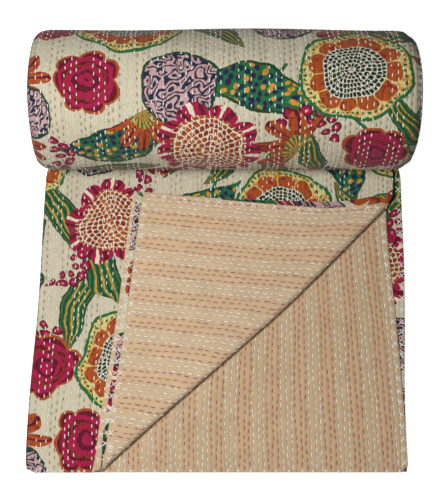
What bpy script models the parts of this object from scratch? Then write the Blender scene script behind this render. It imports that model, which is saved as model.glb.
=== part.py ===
"""A quilted bedspread, folded in eight layers, its far end rolled and one corner turned back.

The cloth is folded lengthwise twice and crosswise once. The open end lies flat in front of the
roll. Three layers of its front right corner are turned back over the pile, which shows their
underside and the fourth layer below them. X runs along the roll, Y away from the open end.
"""

import math
from collections import namedtuple

import bmesh
import bpy
from mathutils import Vector

# Sizes of the folded quilt, in metres.
CLOTH = 0.0022  # two cotton cloths sewn together
GAP = 0.0009  # air between two layers
PITCH = CLOTH + GAP
LAYERS = 8
LEFT_TURN = -0.2785  # the left turns' axis; the outer turn reaches 5.8 mm further

# The roll, its axis along X. Distances along Y start at this axis, so the open end is at -0.557.
ROLL_RADIUS = 0.106
ROLL_LENGTH = 0.573
ROLL_PRESSED = 0.003  # the roll's own weight flattens its underside by this
ROLL_AXIS_Z = ROLL_RADIUS - ROLL_PRESSED
ROLL_END_ROUND = 0.012
ROLL_LUMP = 0.0011
ROLL_FOOT = 0.058  # the floor contact begins this far in front of the axis
STACK = 0.034  # all eight layers where they are wound, looser than in the pile

# The open end.
TAIL_REACH = 0.557
TAIL_IN_ROLL = 0.045  # the layers stop this far in front of the axis, inside the roll
TAIL_LIFT = 0.0015  # they leave the floor by this where they meet the roll
LIFT_FROM = 0.098
LIFT_TO = 0.066
TAIL_SKEW = -0.011  # the open end lies this far left of the roll
TAIL_WAVE = 0.05  # share by which the pile's height varies
TAIL_PINCH = 0.02  # share by which the pile is drawn in under the roll
HEM_ROUND = 0.016

# The turned corner. Its crease starts on the open end and runs up to the right.
CREASE_X = -0.185
CREASE_ANGLE = math.radians(42.3)
CREASE_STEPS = 6
CREASE_BOW = 0.022  # its right end curves this far towards the roll
CREASE_BOW_FROM = 0.331
CREASE_BOW_TO = 0.619
CREASE_BOW_FADE = 0.045

# Each layer from the floor up: its right edge, and how far its open end is drawn in.
Layer = namedtuple("Layer", "right inset")
LAYER_EDGES = (
    Layer(right=0.2820, inset=0.0020),  # joined to the next at its right edge
    Layer(right=0.2820, inset=0.0012),
    Layer(right=0.2790, inset=0.0026),
    Layer(right=0.2860, inset=0.0016),
    Layer(right=0.2770, inset=0.0000),  # shows below the turned corner
    Layer(right=0.2660, inset=0.0010),  # the turned corner's upper side
    Layer(right=0.2700, inset=0.0004),
    Layer(right=0.2700, inset=0.0000),  # joined to the one below at its right edge
)
UPPER_FOLD_SLANT = 0.017  # the upper layers' right fold runs in by this towards the open end
FOURTH_HEM_OUT = 0.0086  # the layer below the turned corner: its hem lies out by this at the open end
FOURTH_HEM_RUN = 0.0256  # and has run in by this near the roll

# Four layers are one back-and-forth section: hem, left turn, right turn, left turn, hem.
Section = namedtuple("Section", "name hem outer inner last")
SECTIONS = (
    Section(name="lower_layers", hem=3, outer=0, inner=1, last=2),
    Section(name="upper_layers", hem=4, outer=7, inner=6, last=5),
)

RUN_STEPS = 7
TURN_STEPS = 5
ROW_STEPS = 8
ROLL_STEPS = 40
ROLL_SPANS = 8
END_STEPS = 3
GROOVE_STEPS_A_TURN = 20
GROOVE_WIDTH = 0.0015
GROOVE_DEPTH = 0.012
GROOVE_BEYOND = 0.004


def clear_scene():
    for old in list(bpy.data.objects):
        bpy.data.objects.remove(old, do_unlink=True)


def new_collection(name):
    collection = bpy.data.collections.new(name)
    bpy.context.scene.collection.children.link(collection)
    return collection


def new_object(name, mesh, collection):
    made = bpy.data.objects.new(name, mesh)
    collection.objects.link(made)
    return made


def mesh_from(bm, name):
    mesh = bpy.data.meshes.new(name)
    bm.to_mesh(mesh)
    bm.free()
    return mesh


def smooth_step(value, low, high):
    t = min(max((value - low) / (high - low), 0.0), 1.0)
    return t * t * (3 - 2 * t)


def layer_height(index):
    """Height of a layer's middle. Between two whole numbers it lies between two layers."""
    return CLOTH / 2 + index * PITCH


# ---- the layers' section -------------------------------------------------------------------


def level_run(x_from, x_to, z):
    """Points along one layer, closer together at a hem."""
    return [(x_from + (x_to - x_from) * i / RUN_STEPS, z) for i in range(RUN_STEPS + 1)]


def turn(x, z_from, z_to, side):
    """Points round a fold, without its two ends. side is -1 at the left and 1 at the right."""
    middle = (z_from + z_to) / 2
    radius = (z_to - z_from) / 2
    angles = [math.pi * i / TURN_STEPS for i in range(1, TURN_STEPS)]
    return [
        (x + side * abs(radius) * math.sin(a), middle - radius * math.cos(a)) for a in angles
    ]


def section_points(section):
    """(x, z) from one hem through three folds to the other hem."""
    heights = [layer_height(i) for i in (section.hem, section.outer, section.inner, section.last)]
    hem_x = LAYER_EDGES[section.hem].right
    last_x = LAYER_EDGES[section.last].right
    fold_x = LAYER_EDGES[section.outer].right
    points = level_run(hem_x, LEFT_TURN, heights[0])
    points += turn(LEFT_TURN, heights[0], heights[1], -1)
    points += level_run(LEFT_TURN, fold_x, heights[1])
    points += turn(fold_x, heights[1], heights[2], 1)
    points += level_run(fold_x, LEFT_TURN, heights[2])
    points += turn(LEFT_TURN, heights[2], heights[3], -1)
    points += level_run(LEFT_TURN, last_x, heights[3])
    return points


def row_places():
    """Y of each row of points, from the open end to inside the roll."""
    length = TAIL_REACH - LIFT_FROM - HEM_ROUND
    near = (0.0, HEM_ROUND * 0.4, HEM_ROUND)
    far = [HEM_ROUND + length * i / ROW_STEPS for i in range(1, ROW_STEPS + 1)]
    rising = (-(LIFT_FROM + LIFT_TO) / 2, -LIFT_TO, -TAIL_IN_ROLL)
    return [*(y - TAIL_REACH for y in (*near, *far)), *rising]


def rounded(across, along):
    """A point in a hem's corner square, moved so that the square's outline becomes an arc."""
    p, q = HEM_ROUND - across, HEM_ROUND - along
    if p <= 0 or q <= 0:
        return across, along
    scale = max(p, q) / math.hypot(p, q)
    return HEM_ROUND - p * scale, HEM_ROUND - q * scale


def drawn_in(z):
    """How far the open end is drawn in at this height."""
    place = min(max((z - CLOTH / 2) / PITCH, 0.0), LAYERS - 1.0)
    low = min(int(place), LAYERS - 2)
    share = place - low
    return LAYER_EDGES[low].inset * (1 - share) + LAYER_EDGES[low + 1].inset * share


def round_hem_corners(bm, columns, rows, hem_columns):
    """Moves the points near each hem's corner at the open end."""
    for column, edge in hem_columns:
        for row in range(3):
            vertex = bm.verts[row * columns + column]
            across, along = rounded(abs(vertex.co.x - edge), rows[row] - rows[0])
            vertex.co.x = edge - across
            vertex.co.y = rows[0] + along


def folded_layers(section):
    """The middle surface of four layers, from a flat grid whose columns go to the section."""
    points = section_points(section)
    rows = row_places()
    hem_edge = LAYER_EDGES[section.hem].right
    last_edge = LAYER_EDGES[section.last].right
    near_hem = [(hem_edge, points[0][1]), (hem_edge - HEM_ROUND * 0.4, points[0][1])]
    near_last = [(last_edge - HEM_ROUND * 0.4, points[-1][1]), (last_edge, points[-1][1])]
    points = [*near_hem, (hem_edge - HEM_ROUND, points[0][1]), *points[1:-1]]
    points = [*points, (last_edge - HEM_ROUND, points[-1][1]), *near_last]
    columns = len(points)
    bm = bmesh.new()
    bmesh.ops.create_grid(bm, x_segments=columns - 1, y_segments=len(rows) - 1, size=1.0)
    bm.verts.ensure_lookup_table()
    for vertex in bm.verts:
        x, z = points[vertex.index % columns]
        vertex.co = (x, rows[vertex.index // columns], z)
    hem_columns = [(c, hem_edge) for c in range(3)]
    hem_columns += [(c, last_edge) for c in range(columns - 3, columns)]
    round_hem_corners(bm, columns, rows, hem_columns)
    for vertex in bm.verts:
        from_end = vertex.co.y + TAIL_REACH
        if vertex.co.z > layer_height(5) + PITCH / 2:
            slant = smooth_step(vertex.co.x, 0.0, 0.26) * (1 - smooth_step(from_end, 0.05, 0.50))
            vertex.co.x -= UPPER_FOLD_SLANT * slant
        if abs(vertex.co.z - layer_height(4)) < PITCH / 4:
            run = FOURTH_HEM_OUT - FOURTH_HEM_RUN * smooth_step(from_end, 0.03, 0.40)
            vertex.co.x += run * smooth_step(vertex.co.x, 0.0, 0.26)
        vertex.co.y += drawn_in(vertex.co.z) * (1 - smooth_step(from_end, 0.0, 0.12))
    return bm


# ---- the turned corner ---------------------------------------------------------------------

CREASE_START = Vector((CREASE_X, -TAIL_REACH, 0))
CREASE_ALONG = Vector((math.cos(CREASE_ANGLE), math.sin(CREASE_ANGLE), 0))
CREASE_ACROSS = Vector((math.sin(CREASE_ANGLE), -math.cos(CREASE_ANGLE), 0))
CREASE_HEIGHT = layer_height(LAYERS - 1) + PITCH / 2
TURNED_ABOVE = layer_height(4) + PITCH / 2


def cut_along_crease(bm):
    """Adds edges to the upper three layers along the crease, for each step of its bend."""
    for step in range(CREASE_STEPS + 1):
        angle = math.pi * step / CREASE_STEPS
        faces = [f for f in bm.faces if min(v.co.z for v in f.verts) > TURNED_ABOVE]
        edges = {e for f in faces for e in f.edges}
        verts = {v for f in faces for v in f.verts}
        bmesh.ops.bisect_plane(
            bm,
            geom=[*verts, *edges, *faces],
            dist=1e-6,
            plane_co=CREASE_START + Vector((0, 0, CREASE_HEIGHT)),
            plane_no=CREASE_ACROSS + Vector((0, 0, angle)),
        )


def turned_back(point):
    """Where a point of the upper three layers goes when the corner is turned back."""
    from_start = point - CREASE_START
    across = from_start.dot(CREASE_ACROSS)
    along = from_start.dot(CREASE_ALONG)
    height = point.z
    if across > 0:
        radius = CREASE_HEIGHT - height
        angle = min(across / radius, math.pi)
        past = max(across - math.pi * radius, 0.0)
        across = radius * math.sin(angle) - past
        height = CREASE_HEIGHT - radius * math.cos(angle)
    bow = smooth_step(along, CREASE_BOW_FROM, CREASE_BOW_TO * 1.15)
    fade = math.exp(-((across / CREASE_BOW_FADE) ** 2))
    moved = CREASE_START + CREASE_ALONG * along + CREASE_ACROSS * across
    return Vector((moved.x, moved.y + CREASE_BOW * bow * fade, height))


def settle(point):
    """The pile's unevenness, its skew, and its rise into the roll."""
    wave = math.sin(9.0 * point.x + 1.3) * math.sin(7.5 * point.y + 0.6)
    wave += 0.5 * math.sin(21.0 * point.x - 0.4 + 5.0 * point.y)
    z = point.z * (1 + TAIL_WAVE * wave)
    z += TAIL_LIFT * smooth_step(point.y, -LIFT_FROM, -LIFT_TO)
    edge = 0.0012 * math.sin(19.0 * point.y + 60.0 * point.z)
    x = point.x * (1 - TAIL_PINCH * smooth_step(point.y, -LIFT_FROM, -LIFT_TO)) + edge
    x += TAIL_SKEW * (1 - smooth_step(point.y, -TAIL_REACH, -0.080))
    return Vector((x, point.y, z))


def thickened(bm, collection):
    """The solid round a middle surface."""
    sheet = new_object("middle_surface", mesh_from(bm, "middle_surface"), collection)
    thicken = sheet.modifiers.new("thickness", "SOLIDIFY")
    thicken.thickness = CLOTH
    thicken.offset = 0.0
    thicken.use_even_offset = True
    solid = bmesh.new()
    solid.from_object(sheet, bpy.context.evaluated_depsgraph_get())
    bpy.data.objects.remove(sheet, do_unlink=True)
    return solid


def make_layers(section, material, collection):
    """Four flat layers as a solid, then the turned corner, then the pile's unevenness."""
    bm = thickened(folded_layers(section), collection)
    if section.hem == 4:
        cut_along_crease(bm)
        for vertex in bm.verts:
            if vertex.co.z > TURNED_ABOVE:
                vertex.co = turned_back(vertex.co)
    for vertex in bm.verts:
        vertex.co = settle(vertex.co)
    layers = new_object(section.name, mesh_from(bm, section.name), collection)
    layers.data.materials.append(material)
    return layers


# ---- the roll ------------------------------------------------------------------------------


def crease_angle():
    """The direction from the roll's axis to where the pile's top meets the roll."""
    pile_top = layer_height(LAYERS - 1) + CLOTH / 2 + TAIL_LIFT
    return math.pi + math.asin((ROLL_AXIS_Z - pile_top) / ROLL_RADIUS)


def roll_outline(x, shrink):
    """(y, z) round the roll, from the pile's top over the roll to its foot on the floor."""
    first, last = crease_angle(), math.radians(-100)
    outline = []
    for step in range(ROLL_STEPS + 1):
        angle = first + (last - first) * step / ROLL_STEPS
        lump = ROLL_LUMP * math.sin(3 * angle + 8 * x) + ROLL_LUMP * math.sin(5 * angle - 17 * x)
        radius = ROLL_RADIUS - shrink + lump * smooth_step(math.sin(angle), -0.5, 0.3)
        z = ROLL_AXIS_Z + radius * math.sin(angle)
        outline.append((radius * math.cos(angle), max(z, 0.0)))
    outline.append((-ROLL_FOOT + shrink, 0.0))
    return outline


def roll_stations():
    """(x, shrink) along the roll, with both ends rounded."""
    half = ROLL_LENGTH / 2
    end = []
    for step in range(END_STEPS + 1):
        angle = math.pi / 2 * step / END_STEPS
        x = half - ROLL_END_ROUND * (1 - math.sin(angle))
        end.append((x, ROLL_END_ROUND * (1 - math.cos(angle))))
    middle = half - ROLL_END_ROUND
    spans = [-middle + 2 * middle * i / ROLL_SPANS for i in range(1, ROLL_SPANS)]
    return [(-x, s) for x, s in reversed(end)] + [(x, 0.0) for x in spans] + end


def make_roll(material, collection):
    """The wound cloth as one solid, lofted through its sections."""
    bm = bmesh.new()
    rings = []
    for x, shrink in roll_stations():
        rings.append([bm.verts.new((x, y, z)) for y, z in roll_outline(x, shrink)])
    bm.faces.new(rings[0])
    bm.faces.new(reversed(rings[-1]))
    for near, far in zip(rings, rings[1:]):
        for i in range(len(near)):
            bm.faces.new((near[i - 1], far[i - 1], far[i], near[i]))
    bmesh.ops.recalc_face_normals(bm, faces=bm.faces)
    roll = new_object("kantha_quilt", mesh_from(bm, "kantha_quilt"), collection)
    roll.data.materials.append(material)
    return roll


def winding(radius_at_front, first_degrees, last_degrees):
    """(y, z) along the gap between turns. It nears the axis by one stack a turn."""
    steps = round((first_degrees - last_degrees) / 360 * GROOVE_STEPS_A_TURN)
    line = []
    for step in range(steps + 1):
        degrees = first_degrees + (last_degrees - first_degrees) * step / steps
        radius = radius_at_front - STACK * (180 - degrees) / 360
        angle = math.radians(degrees)
        line.append((radius * math.cos(angle), ROLL_AXIS_Z + radius * math.sin(angle)))
    return line


def make_groove(side, collection):
    """A cutter for one end of the roll: the gaps between its turns and between its halves."""
    inner = side * (ROLL_LENGTH / 2 - GROOVE_DEPTH)
    outer = side * (ROLL_LENGTH / 2 + GROOVE_BEYOND)
    between_turns = winding(ROLL_RADIUS - STACK, 205, -360)
    between_halves = winding(ROLL_RADIUS - STACK / 2, 190, -500)
    bm = bmesh.new()
    for line in (between_turns, between_halves):
        near = [bm.verts.new((inner, y, z)) for y, z in line]
        far = [bm.verts.new((outer, y, z)) for y, z in line]
        for i in range(len(line) - 1):
            bm.faces.new((near[i], near[i + 1], far[i + 1], far[i]))
    name = "left_gaps" if side < 0 else "right_gaps"
    groove = new_object(name, mesh_from(bm, name), collection)
    widen = groove.modifiers.new("width", "SOLIDIFY")
    widen.thickness = GROOVE_WIDTH
    widen.offset = 0.0
    hide_helper(groove)
    return groove


def hide_helper(helper):
    helper.hide_render = True
    helper.display_type = "WIRE"


def join_in(target, other, operation):
    step = target.modifiers.new(other.name, "BOOLEAN")
    step.operation = operation
    step.object = other
    step.solver = "EXACT"


def quilt_material():
    """Printed cotton: pale ground, rough and matt."""
    material = bpy.data.materials.new("printed_cotton")
    material.use_nodes = True
    shader = material.node_tree.nodes["Principled BSDF"]
    shader.inputs["Base Color"].default_value = (0.52, 0.43, 0.30, 1)
    shader.inputs["Roughness"].default_value = 0.9
    shader.inputs["Metallic"].default_value = 0.0
    return material


def centre(target, helpers):
    """Moves everything so that the box's bottom centre is the origin."""
    bpy.context.view_layer.update()
    evaluated = target.evaluated_get(bpy.context.evaluated_depsgraph_get())
    corners = [evaluated.matrix_world @ v.co for v in evaluated.data.vertices]
    low = Vector([min(c[i] for c in corners) for i in range(3)])
    high = Vector([max(c[i] for c in corners) for i in range(3)])
    shift = Vector((-(low.x + high.x) / 2, -(low.y + high.y) / 2, -low.z))
    for moved in (target, *helpers):
        moved.location += shift


def build():
    clear_scene()
    parts = new_collection("kantha_quilt")
    helpers_collection = new_collection("helpers")
    material = quilt_material()
    quilt = make_roll(material, parts)
    helpers = [make_groove(side, helpers_collection) for side in (-1, 1)]
    for groove in helpers:
        join_in(quilt, groove, "DIFFERENCE")
    for section in SECTIONS:
        layers = make_layers(section, material, helpers_collection)
        hide_helper(layers)
        helpers.append(layers)
        join_in(quilt, layers, "UNION")
    centre(quilt, helpers)


build()
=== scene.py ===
import math

import bmesh
import bpy
import numpy as np
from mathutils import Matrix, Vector


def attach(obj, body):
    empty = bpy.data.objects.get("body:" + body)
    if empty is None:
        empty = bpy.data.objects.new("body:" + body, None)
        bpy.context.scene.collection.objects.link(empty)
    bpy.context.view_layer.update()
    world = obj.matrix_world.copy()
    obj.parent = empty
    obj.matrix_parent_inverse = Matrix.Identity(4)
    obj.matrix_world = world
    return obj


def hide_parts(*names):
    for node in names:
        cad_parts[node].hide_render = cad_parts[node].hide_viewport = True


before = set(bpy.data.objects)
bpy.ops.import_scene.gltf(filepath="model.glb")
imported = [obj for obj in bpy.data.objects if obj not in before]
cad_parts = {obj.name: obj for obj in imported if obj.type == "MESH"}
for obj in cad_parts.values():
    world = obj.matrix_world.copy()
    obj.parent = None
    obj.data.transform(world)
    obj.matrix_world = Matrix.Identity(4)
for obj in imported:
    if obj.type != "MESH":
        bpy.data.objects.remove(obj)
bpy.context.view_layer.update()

bpy.ops.object.select_all(action="DESELECT")

# the quilt is worked out lying flat as a pile of eight layers: x across, y away from the open end,
# z up. Its open corner is then turned back and its far end is wound up, all about the roll's axis.
quilt = {
    "thickness": 0.0022,
    "pitch": 0.0031,  # from layer to layer in the pile
    "rollPitch": 0.00425,  # and in the roll, where they lie looser
    "leftTurn": -0.2785,
    "openEnd": -0.557,
    "clothLength": 2.74,  # of both halves, from open end to open end
    "hemRound": 0.016,
    "foldRound": 0.013,
    "moveX": 0.0048,  # from the roll's middle to the frame's
    "moveY": 0.2251,
    "waveShare": 0.05,
    "skew": -0.011,
    "pinch": 0.02,
    "lift": 0.0015,
    "liftFrom": 0.098,
    "liftTo": 0.066,
}
#            right edge in the pile, in the roll, and how far the open end is drawn in; floor up
layerEdges = (
    (0.2820, 0.2850, 0.0020),
    (0.2820, 0.2850, 0.0012),
    (0.2790, 0.2760, 0.0026),
    (0.2860, 0.2835, 0.0016),
    (0.2770, 0.2785, 0.0000),
    (0.2660, 0.2750, 0.0010),
    (0.2700, 0.2850, 0.0004),
    (0.2700, 0.2850, 0.0000),
)
roll = {
    "radius": 0.106,
    "axisZ": 0.103,
    "half": 0.2865,
    "creaseRadius": 0.001,  # where the pile turns up into the roll
    "footLength": 0.004,
    "stepFrom": 303,  # degrees round the roll, where one turn steps inside the next
    "stepTo": 358,
    "settleTo": 455,
    "stepIn": 0.0245,
    "settleIn": 0.0105,
    "coreFrom": 590,
    "coreLength": 0.11,  # the innermost half turn
    "lump": 0.0011,
    "endRound": 0.026,
    "endSqueeze": 0.017,
    "squeezeDepth": 0.033,  # and no deeper in than this
}
corner = {
    "x": -0.185,
    "angle": 42.3,
    "steps": 10,
    "bow": 0.022,
    "bowFrom": 0.331,
    "bowTo": 0.712,
    "bowFade": 0.045,
    "frontOf": -0.05,  # only the cloth in front of this is turned back
    "slant": 0.017,  # the upper layers' right fold runs in towards the open end
    "slantAcross": 0.26,  # it grows to the whole slant this far right of the middle
    "hemOut": 0.0086,  # the layer below the corner lies out by this at the open end
    "hemRun": 0.0256,  # and has run in by this near the roll
    "squareFrom": 0.02,
    "reachOut": 0.006,  # the second layer's hem sticks out at its free corner
}


def layerMiddle(index):
    return quilt["thickness"] / 2 + index * quilt["pitch"]


pileTop = layerMiddle(7) + quilt["thickness"] / 2
turnedAbove = layerMiddle(4) + quilt["pitch"] / 2
creaseHeight = layerMiddle(7) + quilt["pitch"] / 2
reach = roll["radius"] + roll["creaseRadius"]
creaseZ = pileTop + quilt["lift"] + roll["creaseRadius"]
creaseTurn = math.asin((roll["axisZ"] - creaseZ) / reach)  # below the roll's front
creaseY = -reach * math.cos(creaseTurn)
tailLength = creaseY - quilt["openEnd"]
rollStart = tailLength + roll["footLength"]
rollCore = rollStart + roll["radius"] * math.radians(roll["coreFrom"])


def smoothStep(value, low, high):
    t = np.clip((value - low) / (high - low), 0, 1)
    return t * t * (3 - 2 * t)


def byHeight(z, column):
    return np.interp((z - quilt["thickness"] / 2) / quilt["pitch"], range(8), [row[column] for row in layerEdges])


def ownMiddle(z):  # the middle height of the layer that a point of its cloth belongs to
    place = (z - quilt["thickness"] / 2) / quilt["pitch"]
    half = quilt["thickness"] / 2 / quilt["pitch"]
    below = np.floor(place)
    rise = np.clip((place - below - half) / (1 - 2 * half), 0, 1)
    return (below + rise) * quilt["pitch"] + quilt["thickness"] / 2


def turnCorner(x, y, z):
    c, s = math.cos(math.radians(corner["angle"])), math.sin(math.radians(corner["angle"]))
    dx, dy = x - corner["x"], y - quilt["openEnd"]
    across, along = dx * s - dy * c, dx * c + dy * s
    radius = creaseHeight - z
    safe = np.maximum(radius, 1e-5)
    bend = np.clip(across / safe, 0, math.pi)
    past = np.maximum(across - math.pi * safe, 0)
    square = math.pi * (creaseHeight - ownMiddle(z) - radius) * smoothStep(past, 0, corner["squareFrom"])
    turnedAcross = np.where(across > 0, safe * np.sin(bend) - past + square, across)
    turnedZ = np.where(across > 0, creaseHeight - safe * np.cos(bend), z)
    bow = smoothStep(along, corner["bowFrom"], corner["bowTo"]) * np.exp(-((turnedAcross / corner["bowFade"]) ** 2))
    newX = corner["x"] + c * along + s * turnedAcross
    newY = quilt["openEnd"] + s * along - c * turnedAcross + corner["bow"] * bow
    upper = (z > turnedAbove) & (y < corner["frontOf"])
    return np.where(upper, newX, x), np.where(upper, newY, y), np.where(upper, turnedZ, z)


def layFlat(x, y, z):
    wave = np.sin(9 * x + 1.3) * np.sin(7.5 * y + 0.6) + 0.5 * np.sin(21 * x - 0.4 + 5 * y)
    wave = wave * (1 - smoothStep(y, -0.13, -0.08))
    lift = quilt["lift"] * smoothStep(y, -quilt["liftFrom"], -quilt["liftTo"] - 0.01)
    newZ = z * (1 + quilt["waveShare"] * wave) + lift
    pinched = x * (1 - quilt["pinch"] * smoothStep(y, -quilt["liftFrom"], -quilt["liftTo"]))
    edge = 0.0012 * np.sin(19 * y + 60 * z)
    skew = quilt["skew"] * (1 - smoothStep(y, quilt["openEnd"], -0.080))
    return pinched + edge + skew, y, newZ


def windUp(x, s, z, flatX):
    depth = pileTop - z
    turned = np.clip((s - tailLength) / roll["footLength"], 0, 1) * (math.pi / 2 + creaseTurn) - math.pi / 2
    footY = creaseY + (depth + roll["creaseRadius"]) * np.cos(turned)
    footZ = creaseZ + (depth + roll["creaseRadius"]) * np.sin(turned)
    phi = np.degrees((s - rollStart) / roll["radius"])
    phi = np.clip(phi, 0, roll["coreFrom"])
    theta = math.pi + creaseTurn - np.radians(phi)
    looser = 1 + (quilt["rollPitch"] / quilt["pitch"] - 1) * smoothStep(phi, 0, 100)
    outer = roll["radius"] - roll["stepIn"] * smoothStep(phi, roll["stepFrom"], roll["stepTo"])
    outer = outer - roll["settleIn"] * smoothStep(phi, roll["stepTo"], roll["settleTo"])
    lump = np.sin(3 * theta + 8 * x) + np.sin(5 * theta - 17 * x)
    outer = outer + roll["lump"] * lump * smoothStep(np.sin(theta), -0.5, 0.3) * smoothStep(phi, 0, 40)
    atEnd = np.clip((np.abs(x) - roll["half"] + roll["endRound"]) / roll["endRound"], 0, 1)
    deep = np.clip(depth * looser / roll["squeezeDepth"], 0, 1)
    squeeze = roll["endSqueeze"] * (1 - np.sqrt(1 - atEnd**2)) * (1 - deep)
    outer = outer - squeeze * smoothStep(phi, 0, 30) * (1 - smoothStep(phi, 300, 360))
    radius = outer - depth * looser
    rollY, rollZ = radius * np.cos(theta), roll["axisZ"] + radius * np.sin(theta)
    rollZ = rollZ + np.maximum(0, -(roll["axisZ"] + outer * np.sin(theta)))
    # the innermost half turn, round a centre of its own
    middle = roll["radius"] - roll["stepIn"] - roll["settleIn"] - pileTop / 2 * quilt["rollPitch"] / quilt["pitch"]
    past = np.clip((s - rollCore) / roll["coreLength"], 0, 1) * math.pi
    last = math.pi + creaseTurn - math.radians(roll["coreFrom"])
    coreRadius = middle / 2 + (pileTop / 2 - depth) * quilt["rollPitch"] / quilt["pitch"]
    coreY = middle / 2 * math.cos(last) + coreRadius * np.cos(last - past)
    coreZ = roll["axisZ"] + middle / 2 * math.sin(last) + coreRadius * np.sin(last - past)
    newY = np.where(s < rollStart, footY, np.where(s < rollCore, rollY, coreY))
    newZ = np.where(s < rollStart, footZ, np.where(s < rollCore, rollZ, coreZ))
    inRoll = smoothStep(s, tailLength - 0.004, rollStart + 0.05)
    return flatX * (1 - inRoll) + x * inRoll, newY, newZ


def roundFold(x, s):  # the folded corner at the left of the open end is soft
    size = quilt["foldRound"]
    p = np.clip(1 - (x - quilt["leftTurn"] + quilt["pitch"] / 2) / size, 0, 1)
    q = np.clip(1 - s / size, 0, 1)
    pull = 1 - np.maximum(p, q) / np.maximum(np.hypot(p, q), 1e-6)
    pull = np.where(np.minimum(p, q) > 0, pull, 0)
    return x + size * p * pull, s + size * q * pull


def fourthRun(x, s, z):  # how far the layer below the turned corner lies out
    gap = quilt["pitch"] - quilt["thickness"]
    near = (quilt["pitch"] - quilt["thickness"] / 2 - np.abs(z - layerMiddle(4))) / gap
    run = corner["hemOut"] - corner["hemRun"] * smoothStep(s, 0.03, 0.40)
    return run * smoothStep(x, 0, corner["slantAcross"]) * np.clip(near, 0, 1) * (1 - smoothStep(s, tailLength, 0.64))


def place(points):
    x, y, z = points.T.astype(float)
    x, s = roundFold(x, y - quilt["openEnd"])
    y = s + quilt["openEnd"]
    x = x + fourthRun(x, s, z)
    slant = smoothStep(x, 0, corner["slantAcross"]) * (1 - smoothStep(s, 0.05, 0.50))
    tailX = x - corner["slant"] * (slant * (z > layerMiddle(5) + quilt["pitch"] / 2))
    second = np.clip(1 - np.abs(z - layerMiddle(6)) / quilt["pitch"], 0, 1)
    reachOut = corner["reachOut"] * smoothStep(x, -0.10, 0.25) * second
    tailY = y + (byHeight(z, 2) - reachOut) * (1 - smoothStep(s, 0, 0.12))
    tailX, tailY, tailZ = turnCorner(tailX, tailY, z)
    tailX, tailY, tailZ = layFlat(tailX, tailY, tailZ)
    flatX = layFlat(x, np.full_like(x, creaseY), z)[0]
    right = byHeight(z, 1) / byHeight(z, 0)
    rollX, rollY, rollZ = windUp(np.where(x > 0, x * right, x), s, z, flatX)
    rolled = s > tailLength
    both = ((rollX, tailX), (rollY, tailY), (rollZ, tailZ))
    made = np.stack([np.where(rolled, inRoll, inTail) for inRoll, inTail in both], 1)
    made[:, 0] += quilt["moveX"]
    made[:, 1] += quilt["moveY"]
    return made


startPlaces = [round(value, 4) for value in (tailLength, rollStart, rollCore)]
print("places worked out: where the tail ends, and the roll and its core start:", startPlaces)

halfCloth = {
    "upperHalf": {
        "hem": 4,  # the layers that it runs through, counted from the floor up
        "outer": 7,
        "inner": 6,
        "last": 5,
        "cells": (30, 44, 10, 30),  # across each of them
        "rounds": (0.018, 0.006),  # of its two free corners
        "flip": False,
    },
    "lowerHalf": {
        "hem": 3,
        "outer": 0,
        "inner": 1,
        "last": 2,
        "cells": (16, 10, 8, 8),
        "rounds": (0.010, 0.012),
        "flip": True,  # its print is on the other side of the grid
    },
}


def sectionOf(half):  # x and z from hem to hem, round the three folds
    order = [half["hem"], half["outer"], half["inner"], half["last"]]
    rights = [layerEdges[i][0] for i in order]
    left, hemRound = quilt["leftTurn"], quilt["hemRound"]
    ends = [(rights[0], left), (left, rights[1]), (rights[1], left), (left, rights[3])]
    points = []
    for i, (start, end) in enumerate(ends):
        z = layerMiddle(order[i])
        steps = half["cells"][i]
        xs = list(np.linspace(start, end, steps + 1))
        xs += [left + share * quilt["foldRound"] for share in (0.2, 0.45, 0.75)]
        xs = sorted(xs, reverse=start > end)
        if i == 0:
            rest = [x for x in xs if x < start - 1.3 * hemRound]
            xs = [start, start - 0.4 * hemRound, start - hemRound] + rest
        if i == 3:
            rest = [x for x in xs if x < end - 1.3 * hemRound]
            xs = rest + [end - hemRound, end - 0.4 * hemRound, end]
        points += [(x, z) for x in xs]
        if i < 3:
            nextZ = layerMiddle(order[i + 1])
            side = 1 if i == 1 else -1
            radius, middle = (nextZ - z) / 2, (nextZ + z) / 2
            for a in np.linspace(0, math.pi, 9)[1:-1]:
                points.append((end + side * abs(radius) * math.sin(a), middle - radius * math.cos(a)))
    return points


def rowPlaces():
    near = [0, 0.4 * quilt["hemRound"], quilt["hemRound"]]
    tail = list(np.linspace(quilt["hemRound"], tailLength, 70)[1:])
    foot = list(tailLength + roll["footLength"] * np.linspace(0, 1, 11)[1:])
    firstTurn = list(rollStart + roll["radius"] * np.radians(np.linspace(0, 360, 106)[1:]))
    secondTurn = list(rollStart + roll["radius"] * np.radians(np.linspace(360, roll["coreFrom"], 34)[1:]))
    core = list(rollCore + roll["coreLength"] * np.linspace(0, 1, 17)[1:])
    return near + tail + foot + firstTurn + secondTurn + core


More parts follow.
